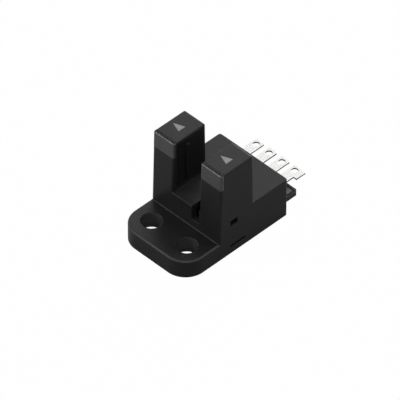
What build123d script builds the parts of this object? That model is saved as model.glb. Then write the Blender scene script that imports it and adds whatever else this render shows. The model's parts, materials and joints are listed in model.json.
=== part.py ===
from build123d import *
import math
import os

# A slotted optical switch: a black case with a two-hole mounting flange, two hollow posts
# with an open sensing slot between them, and four flat terminals at the back.
# Millimetres. X runs across the slot, Y runs from the flange to the terminals, Z is up.
# The origin is midway between the two mounting holes, on the bottom face.
# The right post holds the emitter and the left one the receiver.

# Case, outside
body_width = 13.4
body_length = 13.46
body_height = 6.7
total_height = 15.6
flange_thickness = 3.0
flange_corner_radius = 3.38
hole_to_flange_front = 3.45
hole_to_wall_foot = 3.19
post_depth = 6.12
post_front_lean = 0.39
post_rear_lean = 0.15
slot_width = 5.2

# Case, walls
body_wall = 1.0
body_roof = 1.0
post_outer_wall = 0.8
post_inner_wall = 0.8
post_front_wall = 0.75
post_rear_wall = 0.85
post_roof = 0.9

# Case, edges
flange_edge_rounding = 0.3
upright_rounding = 0.35
rear_upright_rounding = 0.4
body_top_rounding = 0.08
post_top_rounding = 0.24
floor_edge_rounding = 0.12
wall_foot_rounding = 0.12

# Mounting holes
hole_pitch = 7.0
hole_radius = 1.6
hole_back_chamfer = 0.3

# Small openings in the case
notch_width = 1.45
notch_sill_height = 4.35
notch_depth = 2.4
side_window_length = 1.45
side_window_height = 1.0
side_window_below_top = 1.55
low_slit_length = 2.95
low_slit_height = 0.5
low_slit_sill = 1.08
opening_set_back = 2.11

# Arrow marks on the post tops
arrow_length = 1.8
arrow_base = 1.37
arrow_depth = 0.06
arrow_shift = 0.1
arrow_set_back = 0.04

# Optical axis
axis_below_top = 3.0
axis_before_post_middle = 0.44

# Slot-side windows
window_thickness = 0.5
window_border = 0.5
window_seat = 0.35
rib_width = 0.65
rib_height = 0.2
rib_bevel = 0.05
rib_low_gap = 0.6
rib_high_gap = 0.85

# Indicator windows
indicator_height = 2.67
indicator_thickness = 0.45
indicator_opening_width = 1.4
indicator_lap = 0.15
indicator_top_rounding = 0.2
indicator_seam_bevel = 0.1
case_seam_bevel = 0.12

# Fits
seat_gap = 0.03
snap_gap = 0.1
holder_side_gap = 0.1

# Emitter and receiver packages
package_width = 2.2
package_height = 3.4
package_edge = 0.2
lens_radius = 0.8
lens_height = 0.4
lead_width = 0.4
lead_thickness = 0.3
emitter_lead_pitch = 1.27
receiver_lead_pitch = 0.75
lead_below_board = 0.3

# Holders
holder_plate = 0.7
holder_cheek = 0.28
holder_grip = 0.3
holder_drop = 0.7
light_slit_width = 0.5
light_slit_height = 2.0
shelf_lead_gap = 0.05
shelf_thickness = 0.38
hook_plate = 0.3
hook_height = 2.3
hook_recess = 0.5
hook_slope = 0.2

# Circuit board
board_thickness = 0.8
board_edge_gap = 0.3
board_front_gap = 0.15
board_rear_gap = 0.65
lead_hole_gap = 0.08

# Base cover
cover_thickness = 1.0
cover_rail_width = 0.7
cover_rail_height = 0.9
cover_rail_overhang = 0.4
cover_rib_reach = 0.5
cover_pad_length = 1.1
cover_pad_width = 1.1
cover_pad_inset = 1.2

# Terminals
terminal_count = 4
terminal_pitch = 2.54
terminal_width = 1.6
terminal_thickness = 0.25
terminal_top = 3.6
terminal_reach = 5.2
terminal_inner_length = 3.75
terminal_hole_radius = 0.52
terminal_hole_to_tip = 0.9
terminal_tip_chamfer = 0.18
lug_width = 0.6
lug_before_hole = 1.05

# Terminal block
block_cover = 0.97
block_inner_length = 1.45
block_neck_margin = 0.3
tongue_length = 2.1
tongue_thickness = 1.0
tongue_inset = 0.25
tongue_rounding = 0.25
tongue_below_terminals = 0.21
tongue_rear_rim = 0.35
tongue_side_rim = 0.15
tongue_pocket_depth = 0.15
tongue_groove_width = 0.25
tongue_groove_depth = 0.5

# Light guide and the parts on the board
guide_width = 0.9
guide_top_gap = 0.2
lamp_length = 1.2
lamp_width = 0.5
lamp_height = 0.6
lamp_base_height = 0.2
lamp_end = 0.2
lamp_edge = 0.1
lamp_gap = 0.1
resistor_length = 1.6
resistor_width = 0.8
resistor_height = 0.45
resistor_count = 3
capacitor_length = 2.0
capacitor_width = 1.25
capacitor_height = 1.25
diode_length = 1.7
diode_width = 1.25
diode_height = 0.9
chip_edge = 0.05
transistor_length = 2.9
transistor_width = 1.3
transistor_height = 1.0
transistor_leg_pitch = 1.9
regulator_length = 3.4
regulator_width = 2.2
regulator_height = 1.4
regulator_leg_pitch = 1.27
legged_chip_edge = 0.1
leg_width = 0.4
leg_reach = 0.5
leg_thickness = 0.2
leg_lift = 0.1
side_spacing = 0.9
row_front_gap = 1.1
row_rear_gap = 0.45

# Places worked out from the sizes above
half_width = body_width / 2
half_slot = slot_width / 2
flange_front = -hole_to_flange_front
wall_foot = hole_to_wall_foot
rear_face = wall_foot + body_length
lean_slope = post_front_lean / (total_height - flange_thickness)
post_front_top = wall_foot + post_front_lean
post_rear_top = post_front_top + post_depth
rear_slope = post_rear_lean / (total_height - body_height)
post_middle = (post_front_top + post_rear_top) / 2
cavity_half = half_width - body_wall
cavity_front = wall_foot + body_wall
cavity_rear = rear_face - body_wall
cavity_top = body_height - body_roof
shaft_inner = half_slot + post_inner_wall
shaft_outer = half_width - post_outer_wall
shaft_front = post_front_top + post_front_wall
shaft_rear = post_rear_top - post_rear_wall
shaft_middle = (shaft_inner + shaft_outer) / 2
shaft_top = total_height - post_roof
axis_y = post_middle - axis_before_post_middle
axis_z = total_height - axis_below_top
arrow_y = post_middle + arrow_set_back
indicator_low = total_height - indicator_height
opening_front = wall_foot + opening_set_back
side_window_sill = body_height - side_window_below_top
terminal_bottom = terminal_top - terminal_thickness
board_top = terminal_bottom
board_bottom = board_top - board_thickness
board_half = cavity_half - board_edge_gap
board_front = cavity_front + board_front_gap
board_rear = cavity_rear - board_rear_gap
neck_half = cavity_half - block_neck_margin
block_top = terminal_top + block_cover
tongue_top = terminal_bottom - tongue_below_terminals
block_bottom = tongue_top - tongue_thickness
tongue_rear = rear_face + tongue_length
terminal_tip = rear_face + terminal_reach
terminal_hole_y = terminal_tip - terminal_hole_to_tip
terminal_inner_end = rear_face - terminal_inner_length
window_front = post_front_top + window_border
window_rear = post_rear_top - window_border
window_low = body_height + window_border
window_high = total_height - window_border
grip_outer = min(shaft_outer, cavity_half) - holder_side_gap
package_inner = shaft_inner + holder_plate
package_outer = grip_outer - holder_grip
lead_x = (package_inner + package_outer) / 2
shelf_outer = lead_x - lead_thickness / 2 - shelf_lead_gap
holder_front = axis_y - package_width / 2 - seat_gap - holder_cheek
holder_rear = axis_y + package_width / 2 + seat_gap + holder_cheek
holder_top = axis_z + package_height / 2 + snap_gap
holder_foot = cavity_top - holder_drop
package_bottom = axis_z - package_height / 2

# How far a cut runs past what it cuts, how close a point counts as on a face, a level past
# everything, and the most of a wall that a rounding takes
beyond = 1.0
tiny = 0.01
far = 99.0
most_of_wall = 0.85


def block(x_low, x_high, y_low, y_high, z_low, z_high):
    """An upright box between two corners."""
    centre = Pos((x_low + x_high) / 2, (y_low + y_high) / 2, (z_low + z_high) / 2)
    return centre * Box(x_high - x_low, y_high - y_low, z_high - z_low)


def side_prism(outline, x_low, x_high):
    """A solid with the same (y, z) outline from x_low to x_high."""
    plane = Plane(origin=(x_low, 0, 0), x_dir=(0, 1, 0), z_dir=(1, 0, 0))
    face = make_face(Polyline(*outline, close=True))
    return extrude(plane * face, x_high - x_low)


def plan_prism(outline, z_low, z_high):
    """A solid with the same (x, y) outline from z_low to z_high."""
    face = make_face(Polyline(*outline, close=True))
    return extrude(Pos(0, 0, z_low) * face, z_high - z_low)


def edges_near(shape, *tests):
    """The edges of a shape that pass each test."""
    return [edge for edge in shape.edges() if all(test(edge) for test in tests)]


def along(axis):
    """A test for edges that run more or less along one axis, 0 for X, 1 for Y and 2 for Z."""
    nearly_all = 0.9

    def test(edge):
        step = (edge @ 1) - (edge @ 0)
        parts = [abs(step.X), abs(step.Y), abs(step.Z)]
        return parts[axis] > nearly_all * math.hypot(*parts)
    return test


def mid(axis, low, high):
    """A test for edges whose middle lies between two levels on one axis."""
    def test(edge):
        point = edge @ 0.5
        return low <= [point.X, point.Y, point.Z][axis] <= high
    return test


def front_plane_y(z):
    """How far back the leaning front wall stands at height z."""
    return wall_foot + lean_slope * (z - flange_thickness)


def rear_plane_y(z):
    """How far back the rear of a post stands at height z."""
    return post_rear_top + rear_slope * (total_height - z)


def mirrored(shape):
    """The same piece on the other side of the slot."""
    return mirror(shape, about=Plane.YZ)


# Case

def post_outside():
    """The right post as a solid column down to the bottom of the case."""
    outline = [
        (front_plane_y(0), 0),
        (post_front_top, total_height),
        (post_rear_top, total_height),
        (rear_plane_y(0), 0),
    ]
    column = side_prism(outline, half_slot, half_width)
    front_edges = edges_near(column, along(2), mid(1, -far, post_middle))
    column = fillet(front_edges, upright_rounding)
    rear_edges = edges_near(column, along(2), mid(1, post_rear_top - post_top_rounding, far))
    column = fillet(rear_edges, post_top_rounding)
    top_edges = edges_near(column, mid(2, total_height - post_top_rounding / 2, far))
    return fillet(top_edges, post_top_rounding)


def rear_block_outside():
    """The body behind and between the posts, with its rounded top and rear edges."""
    body = block(-half_width, half_width, post_middle, rear_face, 0, body_height)
    rear_edges = edges_near(body, along(2), mid(1, post_middle + beyond, far))
    body = fillet(rear_edges, rear_upright_rounding)
    top_edges = edges_near(body, mid(2, body_height - body_top_rounding / 2, far),
                           mid(1, post_middle + beyond, far))
    return fillet(top_edges, body_top_rounding)


def middle_block_outside():
    """The low front wall between the posts, under the slot."""
    outline = [
        (front_plane_y(0), 0),
        (front_plane_y(body_height), body_height),
        (post_middle + beyond, body_height),
        (post_middle + beyond, 0),
    ]
    reach = half_slot + post_inner_wall / 2
    wall = side_prism(outline, -reach, reach)
    floor_edge = edges_near(wall, along(0), mid(2, body_height - tiny, far), mid(1, -far, post_middle))
    return fillet(floor_edge, floor_edge_rounding)


def flange_outside():
    """The mounting flange, with its two large front corners."""
    flange = block(-half_width, half_width, flange_front, wall_foot + body_wall, 0, flange_thickness)
    corners = edges_near(flange, along(2), mid(1, -far, flange_front + tiny))
    flange = fillet(corners, flange_corner_radius)
    rim = edges_near(flange, mid(2, flange_thickness - tiny, far), mid(1, -far, wall_foot + body_wall / 2))
    return fillet(rim, flange_edge_rounding)


def wall_foot_fillet():
    """The small hollow rounding where the front wall meets the top of the flange."""
    start = (wall_foot - wall_foot_rounding, flange_thickness)
    end_z = flange_thickness + wall_foot_rounding
    end = (front_plane_y(end_z), end_z)
    share = 1 - math.sqrt(0.5)
    halfway = (wall_foot - wall_foot_rounding * share, flange_thickness + wall_foot_rounding * share)
    inside = wall_foot + wall_foot_rounding
    under = flange_thickness - wall_foot_rounding
    outline = ThreePointArc(start, halfway, end) + Polyline(end, (inside, end_z), (inside, under),
                                                            (start[0], under), start)
    plane = Plane(origin=(upright_rounding - half_width, 0, 0), x_dir=(0, 1, 0), z_dir=(1, 0, 0))
    return extrude(plane * make_face(outline), 2 * (half_width - upright_rounding))


def mounting_hole(x):
    """One mounting hole, with the small chamfer at the bottom face."""
    hole = Pos(x, 0, flange_thickness / 2) * Cylinder(hole_radius, flange_thickness + 2 * beyond)
    mouth = Cone(hole_radius + hole_back_chamfer, hole_radius, hole_back_chamfer)
    return hole + Pos(x, 0, hole_back_chamfer / 2) * mouth


def arrow_mark(post_centre):
    """A shallow triangle in a post's top, pointing the way that the light goes."""
    base_x = post_centre - arrow_shift + arrow_length / 3
    outline = [
        (base_x - arrow_length, arrow_y),
        (base_x, arrow_y - arrow_base / 2),
        (base_x, arrow_y + arrow_base / 2),
    ]
    return plan_prism(outline, total_height - arrow_depth, total_height + beyond)


def post_cuts():
    """What is taken out of the right post: its shaft, window seat and indicator seat."""
    shaft = block(shaft_inner, shaft_outer, shaft_front, shaft_rear, cavity_top - beyond, shaft_top)
    window_seat_cut = block(half_slot - beyond, half_slot + window_thickness,
                            window_front, window_rear, window_low, window_high)
    window_hole = block(half_slot, shaft_inner + beyond,
                        window_front + window_seat, window_rear - window_seat,
                        window_low + window_seat, window_high - window_seat)
    seat_back = post_front_top + indicator_thickness
    seat_outline = [
        (wall_foot - beyond, indicator_low),
        (seat_back, indicator_low),
        (seat_back, total_height - case_seam_bevel),
        (seat_back + case_seam_bevel, total_height),
        (seat_back + case_seam_bevel, total_height + beyond),
        (wall_foot - beyond, total_height + beyond),
    ]
    indicator_seat = side_prism(seat_outline, half_slot - beyond, half_width + beyond)
    indicator_hole = block(shaft_middle - indicator_opening_width / 2,
                           shaft_middle + indicator_opening_width / 2,
                           wall_foot, shaft_front + beyond,
                           indicator_low + indicator_lap, shaft_top)
    return [shaft, window_seat_cut, window_hole, indicator_seat, indicator_hole]


def make_case():
    """The black case: flange, body and two hollow posts in one moulding."""
    post = post_outside()
    case = rear_block_outside() + middle_block_outside() + post + mirrored(post) + flange_outside()
    case += wall_foot_fillet()
    case -= block(-cavity_half, cavity_half, cavity_front, cavity_rear, -beyond, cavity_top)
    for cut in post_cuts():
        case -= cut
        case -= mirrored(cut)
    side_window = block(cavity_half - beyond, half_width + beyond,
                        opening_front, opening_front + side_window_length,
                        side_window_sill, side_window_sill + side_window_height)
    low_slit = block(cavity_half - beyond, half_width + beyond,
                     opening_front, opening_front + low_slit_length,
                     low_slit_sill, low_slit_sill + low_slit_height)
    for cut in (side_window, low_slit):
        case -= cut
        case -= mirrored(cut)
    case -= block(half_slot - notch_width, half_slot, flange_front, wall_foot + notch_depth,
                  notch_sill_height, body_height + beyond)
    case -= block(-neck_half, neck_half, cavity_rear - beyond, rear_face + beyond, -beyond, block_top)
    post_centre = (half_slot + half_width) / 2
    for side in (-1, 1):
        case -= mounting_hole(side * hole_pitch / 2)
        case -= arrow_mark(side * post_centre)
    return case


def make_slot_window():
    """The dark window in the slot side of the right post, with its upright rib."""
    pane = block(half_slot, half_slot + window_thickness,
                 window_front + seat_gap, window_rear - seat_gap,
                 window_low + seat_gap, window_high - seat_gap)
    rib = block(half_slot - rib_height, half_slot,
                axis_y - rib_width / 2, axis_y + rib_width / 2,
                window_low + rib_low_gap, window_high - rib_high_gap)
    rib_edges = edges_near(rib, mid(0, -far, half_slot - rib_height + tiny))
    return pane + chamfer(rib_edges, rib_bevel)


def make_indicator_window():
    """The lighter window round the top of the right post's front."""
    back = post_front_top + indicator_thickness
    outline = [
        (front_plane_y(indicator_low), indicator_low),
        (post_front_top, total_height),
        (back - indicator_seam_bevel, total_height),
        (back, total_height - indicator_seam_bevel),
        (back, indicator_low),
    ]
    pane = side_prism(outline, half_slot, half_width)
    corner = min(upright_rounding, (indicator_thickness - indicator_seam_bevel) * most_of_wall)
    pane = fillet(edges_near(pane, along(2), mid(1, -far, post_front_top + tiny)), corner)
    front_tops = edges_near(pane, mid(2, total_height - tiny, far),
                            mid(1, -far, post_front_top + corner - tiny))
    return fillet(front_tops, min(indicator_top_rounding, corner * most_of_wall))


# Emitter and receiver

def make_holder():
    """The right post's inner holder: slit plate, two cheeks, a shelf and the side hook."""
    plate = block(shaft_inner, package_inner, holder_front, holder_rear, holder_foot, holder_top)
    front_cheek = block(shaft_inner, grip_outer, holder_front, holder_front + holder_cheek,
                        holder_foot, holder_top)
    rear_cheek = block(shaft_inner, grip_outer, holder_rear - holder_cheek, holder_rear,
                       package_bottom - shelf_thickness, holder_top)
    shelf = block(package_inner, shelf_outer, holder_front, holder_rear,
                  package_bottom - shelf_thickness, package_bottom)
    hook_wall = block(grip_outer - hook_plate, grip_outer, holder_front,
                      opening_front + side_window_length - snap_gap,
                      holder_foot, holder_foot + hook_height)
    nub_low = side_window_sill + snap_gap
    nub_high = side_window_sill + side_window_height - snap_gap
    nub_reach = half_width - hook_recess
    nub_outline = [
        (grip_outer, nub_low),
        (nub_reach - hook_slope, nub_low),
        (nub_reach, nub_high),
        (grip_outer, nub_high),
    ]
    nub_plane = Plane(origin=(0, opening_front + snap_gap, 0), x_dir=(1, 0, 0), z_dir=(0, -1, 0))
    nub_face = nub_plane * make_face(Polyline(*nub_outline, close=True))
    nub = extrude(nub_face, -(side_window_length - 2 * snap_gap))
    holder = plate + front_cheek + rear_cheek + shelf + hook_wall + nub
    slit = block(shaft_inner - beyond, package_inner + beyond,
                 axis_y - light_slit_width / 2, axis_y + light_slit_width / 2,
                 axis_z - light_slit_height / 2, axis_z + light_slit_height / 2)
    dish_depth = lens_height + seat_gap
    dish = Cylinder(lens_radius + snap_gap, dish_depth)
    dish = Pos(package_inner - dish_depth / 2, axis_y, axis_z) * Rot(0, 90, 0) * dish
    return holder - slit - dish


def make_package():
    """A moulded side-looking optical package with a domed lens towards the slot."""
    body = block(package_inner, package_outer, axis_y - package_width / 2, axis_y + package_width / 2,
                 package_bottom, package_bottom + package_height)
    body = chamfer(edges_near(body, along(1), mid(2, axis_z, far)), package_edge)
    tip = (package_inner - lens_height, 0)
    rim = (package_inner, lens_radius)
    ball_radius = (lens_radius ** 2 + lens_height ** 2) / (2 * lens_height)
    half_angle = math.asin(lens_radius / ball_radius) / 2
    ball_centre_x = package_inner - lens_height + ball_radius
    halfway = (ball_centre_x - ball_radius * math.cos(half_angle), ball_radius * math.sin(half_angle))
    section = make_face(Line((package_inner, 0), tip) + ThreePointArc(tip, halfway, rim)
                        + Line(rim, (package_inner, 0)))
    dome = revolve(section, Axis.X, 360)
    return body + Pos(0, axis_y, axis_z) * dome


def make_lead(y_offset):
    """One straight lead from the package down through the board."""
    return block(lead_x - lead_thickness / 2, lead_x + lead_thickness / 2,
                 axis_y + y_offset - lead_width / 2, axis_y + y_offset + lead_width / 2,
                 board_bottom - lead_below_board, package_bottom)


emitter_lead_offsets = [-emitter_lead_pitch / 2, emitter_lead_pitch / 2]
receiver_lead_offsets = [-receiver_lead_pitch, 0, receiver_lead_pitch]


def make_light_guide():
    """The clear bar that brings the lamp's light up to the indicator window."""
    back = holder_front - seat_gap
    front = shaft_front + seat_gap
    foot = board_top + lamp_height + lamp_gap
    top = shaft_top - guide_top_gap
    outline = [(front, foot), (front, top), (back, top - (back - front)), (back, foot)]
    return side_prism(outline, shaft_middle - guide_width / 2, shaft_middle + guide_width / 2)


# Board and what stands on it

def make_board():
    """The circuit board, with its holes for the leads."""
    board = block(-board_half, board_half, board_front, board_rear, board_bottom, board_top)
    drill_radius = math.hypot(lead_width, lead_thickness) / 2 + lead_hole_gap
    for side, offsets in ((1, emitter_lead_offsets), (-1, receiver_lead_offsets)):
        for offset in offsets:
            place = Pos(side * lead_x, axis_y + offset, (board_bottom + board_top) / 2)
            board -= place * Cylinder(drill_radius, board_thickness + beyond)
    return board


def on_board(x, y, length, width, height):
    """A box that stands on the board, with its length along X."""
    return block(x - length / 2, x + length / 2,
                 y - width / 2, y + width / 2,
                 board_top, board_top + height)


def chip(x, y, length, width, height):
    """A plain two-ended chip part with softened upright edges."""
    body = on_board(x, y, length, width, height)
    return chamfer(edges_near(body, along(2)), chip_edge)


def legged_chip(x, y, length, width, height, leg_pitch, front_legs, rear_legs):
    """A moulded chip whose flat legs come down to the board at its front and rear."""
    body = Pos(0, 0, leg_lift) * on_board(x, y, length, width, height - leg_lift)
    body = chamfer(edges_near(body, mid(2, board_top + height - tiny, far)), legged_chip_edge)
    leg_top = board_top + height / 2
    for count, side in ((front_legs, -1), (rear_legs, 1)):
        for index in range(count):
            leg_x = x + (index - (count - 1) / 2) * leg_pitch
            edge_y = y + side * width / 2
            knee_y = edge_y + side * leg_thickness
            toe_y = edge_y + side * leg_reach
            upright = block(leg_x - leg_width / 2, leg_x + leg_width / 2,
                            min(edge_y, knee_y), max(edge_y, knee_y), board_top, leg_top)
            foot = block(leg_x - leg_width / 2, leg_x + leg_width / 2,
                         min(edge_y, toe_y), max(edge_y, toe_y), board_top, board_top + leg_thickness)
            body += upright + foot
    return body


def row_places(lengths):
    """The middles of parts set side by side, centred, with the same space between them."""
    total = sum(lengths) + side_spacing * (len(lengths) - 1)
    start = -total / 2
    places = []
    for length in lengths:
        places.append(start + length / 2)
        start += length + side_spacing
    return places


# Three rows share the board between its front and the terminals, with the same space between them
rows_front = board_front + row_front_gap
rows_rear = terminal_inner_end - row_rear_gap
row_depths = resistor_width + capacitor_width + regulator_width + 2 * leg_reach
row_spacing = (rows_rear - rows_front - row_depths) / 2
front_row_y = rows_front + resistor_width / 2
middle_row_y = rows_front + resistor_width + row_spacing + capacitor_width / 2
rear_row_y = rows_rear - leg_reach - regulator_width / 2
resistor_places = row_places([resistor_length] * resistor_count)
middle_row_places = row_places([capacitor_length, diode_length])
rear_row_places = row_places([regulator_length, transistor_length])


def make_lamp():
    """The indicator lamp chip under the light guide: a clear dome block on a thin base."""
    middle_y = (shaft_front + holder_front) / 2
    base = on_board(shaft_middle, middle_y, lamp_length, lamp_width, lamp_base_height)
    cap = on_board(shaft_middle, middle_y, lamp_length - 2 * lamp_end, lamp_width, lamp_height)
    cap = chamfer(edges_near(cap, along(1), mid(2, board_top + lamp_height - tiny, far)), lamp_edge)
    return base + cap


# Base cover

def make_base_cover():
    """The cover that closes the case from below, with the board supports and snap ribs."""
    half = cavity_half - seat_gap
    front = cavity_front + seat_gap
    cover = block(-half, half, front, cavity_rear - seat_gap, 0, cover_thickness)
    cover += block(-neck_half + seat_gap, neck_half - seat_gap, cavity_rear - body_wall, rear_face,
                   0, block_bottom - seat_gap)
    rail_front = opening_front - cover_rail_overhang
    rail_rear = opening_front + low_slit_length + cover_rail_overhang
    pad_inner = half - cover_pad_inset - cover_pad_width
    for side in (-1, 1):
        rail = block(half - cover_rail_width, half, rail_front, rail_rear,
                     cover_thickness, cover_thickness + cover_rail_height)
        rib = block(half - cover_rail_width / 2, half + cover_rib_reach,
                    opening_front + snap_gap, opening_front + low_slit_length - snap_gap,
                    low_slit_sill + snap_gap / 2, low_slit_sill + low_slit_height - snap_gap / 2)
        front_pad = block(pad_inner, pad_inner + cover_pad_width, board_front,
                          board_front + cover_pad_length, cover_thickness, board_bottom)
        rear_pad = block(pad_inner, pad_inner + cover_pad_width, terminal_inner_end,
                         terminal_inner_end + cover_pad_length, cover_thickness, board_bottom)
        for added in (rail, rib, front_pad, rear_pad):
            cover += added if side == 1 else mirrored(added)
    return cover


# Terminals and their block

def terminal_x(index):
    """Where a terminal stands across the body."""
    return (index - (terminal_count - 1) / 2) * terminal_pitch


def make_terminal(index):
    """One flat terminal with its round hole; the last one has a wider end."""
    x = terminal_x(index)
    low = x - terminal_width / 2
    high = x + terminal_width / 2
    blade = block(low, high, terminal_inner_end, terminal_tip, terminal_bottom, terminal_top)
    if index == terminal_count - 1:
        blade += block(low, high + lug_width, terminal_hole_y - lug_before_hole, terminal_tip,
                       terminal_bottom, terminal_top)
    corners = edges_near(blade, along(2), mid(1, terminal_tip - tiny, far))
    blade = chamfer(corners, terminal_tip_chamfer)
    hole_centre = Pos(x, terminal_hole_y, (terminal_bottom + terminal_top) / 2)
    return blade - hole_centre * Cylinder(terminal_hole_radius, terminal_thickness + beyond)


def make_terminal_block():
    """The moulding round the terminals, which passes through the rear wall and ends in the tongue."""
    inner = block(-neck_half, neck_half, cavity_rear - block_inner_length, cavity_rear - seat_gap,
                  board_top, block_top - seat_gap)
    neck = block(-neck_half + seat_gap, neck_half - seat_gap, board_rear + seat_gap, rear_face,
                 block_bottom, block_top - seat_gap)
    tongue_half = half_width - tongue_inset
    tongue = block(-tongue_half, tongue_half, rear_face, tongue_rear, block_bottom, tongue_top)
    tongue = fillet(edges_near(tongue, along(2), mid(1, tongue_rear - tiny, far)), tongue_rounding)
    pocket_half = tongue_half - tongue_side_rim
    tongue -= block(-pocket_half, pocket_half, rear_face, tongue_rear - tongue_rear_rim,
                    tongue_top - tongue_pocket_depth, tongue_top + beyond)
    groove = block(pocket_half - tongue_groove_width, pocket_half,
                   rear_face, tongue_rear - tongue_rear_rim,
                   tongue_top - tongue_groove_depth, tongue_top + beyond)
    moulding = inner + neck + (tongue - groove - mirrored(groove))
    for index in range(terminal_count):
        x = terminal_x(index)
        moulding -= block(x - terminal_width / 2, x + terminal_width / 2,
                          cavity_rear - block_inner_length - beyond, rear_face + beyond,
                          terminal_bottom, terminal_top)
    return moulding


# The whole switch

slot_window = make_slot_window()
indicator_window = make_indicator_window()
holder = make_holder()
package = make_package()

pieces = {
    "case": make_case(),
    "base_cover": make_base_cover(),
    "slot_window_right": slot_window,
    "slot_window_left": mirrored(slot_window),
    "indicator_window_right": indicator_window,
    "indicator_window_left": mirrored(indicator_window),
    "emitter_holder": holder,
    "receiver_holder": mirrored(holder),
    "infrared_emitter": package,
    "photo_receiver": mirrored(package),
    "light_guide": make_light_guide(),
    "circuit_board": make_board(),
    "indicator_lamp": make_lamp(),
    "terminal_block": make_terminal_block(),
    "capacitor": chip(middle_row_places[0], middle_row_y, capacitor_length, capacitor_width,
                      capacitor_height),
    "protection_diode": chip(middle_row_places[1], middle_row_y, diode_length, diode_width, diode_height),
    "regulator_chip": legged_chip(rear_row_places[0], rear_row_y, regulator_length, regulator_width,
                                  regulator_height, regulator_leg_pitch, 3, 3),
    "output_transistor": legged_chip(rear_row_places[1], rear_row_y, transistor_length,
                                     transistor_width, transistor_height, transistor_leg_pitch, 1, 2),
}
for index, offset in enumerate(emitter_lead_offsets):
    pieces[f"emitter_lead_{index + 1}"] = make_lead(offset)
for index, offset in enumerate(receiver_lead_offsets):
    pieces[f"receiver_lead_{index + 1}"] = mirrored(make_lead(offset))
for index, x in enumerate(resistor_places):
    pieces[f"resistor_{index + 1}"] = chip(x, front_row_y, resistor_length, resistor_width,
                                           resistor_height)
for index in range(terminal_count):
    pieces[f"terminal_{index + 1}"] = make_terminal(index)

os.makedirs("parts", exist_ok=True)
for name, piece in pieces.items():
    export_step(piece, f"parts/{name}.step")
    print(name, round(piece.volume, 3))
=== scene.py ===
import json
import logging
import math
from dataclasses import dataclass, field
from enum import Enum

import bmesh
import bpy
from mathutils import Matrix, Vector


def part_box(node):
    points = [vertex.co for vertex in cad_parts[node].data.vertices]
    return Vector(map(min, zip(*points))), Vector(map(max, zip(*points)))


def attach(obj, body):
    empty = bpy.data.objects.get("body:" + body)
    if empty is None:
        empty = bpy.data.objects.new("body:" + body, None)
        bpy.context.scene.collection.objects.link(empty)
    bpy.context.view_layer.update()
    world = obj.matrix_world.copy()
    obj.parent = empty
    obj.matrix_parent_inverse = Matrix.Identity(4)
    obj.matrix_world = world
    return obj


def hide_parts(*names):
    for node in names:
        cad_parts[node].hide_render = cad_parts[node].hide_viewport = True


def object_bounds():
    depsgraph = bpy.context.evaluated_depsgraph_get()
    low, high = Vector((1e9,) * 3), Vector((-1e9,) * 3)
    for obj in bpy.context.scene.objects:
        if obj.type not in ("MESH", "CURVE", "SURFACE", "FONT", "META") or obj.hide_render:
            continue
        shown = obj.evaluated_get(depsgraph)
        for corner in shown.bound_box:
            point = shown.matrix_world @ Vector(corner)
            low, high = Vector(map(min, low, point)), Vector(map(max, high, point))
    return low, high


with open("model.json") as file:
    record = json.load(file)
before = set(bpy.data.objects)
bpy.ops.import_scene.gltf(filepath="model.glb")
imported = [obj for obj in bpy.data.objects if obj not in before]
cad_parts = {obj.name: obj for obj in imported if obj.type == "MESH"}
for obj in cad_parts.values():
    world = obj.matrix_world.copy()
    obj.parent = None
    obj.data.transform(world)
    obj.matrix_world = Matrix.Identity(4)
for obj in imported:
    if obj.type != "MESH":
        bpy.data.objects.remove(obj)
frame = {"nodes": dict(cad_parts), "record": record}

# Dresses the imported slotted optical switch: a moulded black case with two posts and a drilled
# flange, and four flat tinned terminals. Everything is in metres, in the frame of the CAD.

CAD_BOX = [list(corner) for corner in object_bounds()]
MILLIMETRE = 0.001
BODY = "root"

Tint = tuple[float, float, float]
Socket = bpy.types.NodeSocket

log = logging.getLogger("switch")


class Side(Enum):
    """The two posts: the right one sends the light and the left one receives it."""

    LEFT = "left"
    RIGHT = "right"


class Slot(Enum):
    """The record's material slots, named for the new pieces."""

    CASE = "case_black"
    METAL = "tinned_metal"


class Axis(Enum):
    """The object's own axes."""

    X = "X"
    Y = "Y"
    Z = "Z"


class Join(Enum):
    """The ways to join two values in a pattern."""

    SUM = "ADD"
    PRODUCT = "MULTIPLY"
    LARGEST = "MAXIMUM"


def toned(shade: float, tint: Tint) -> Tint:
    """Gives a grey a slight tint."""
    return tuple(shade * part for part in tint)


def scaled(colour: Tint, factor: float) -> Tint:
    """Makes a colour darker or lighter."""
    return tuple(part * factor for part in colour)


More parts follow.
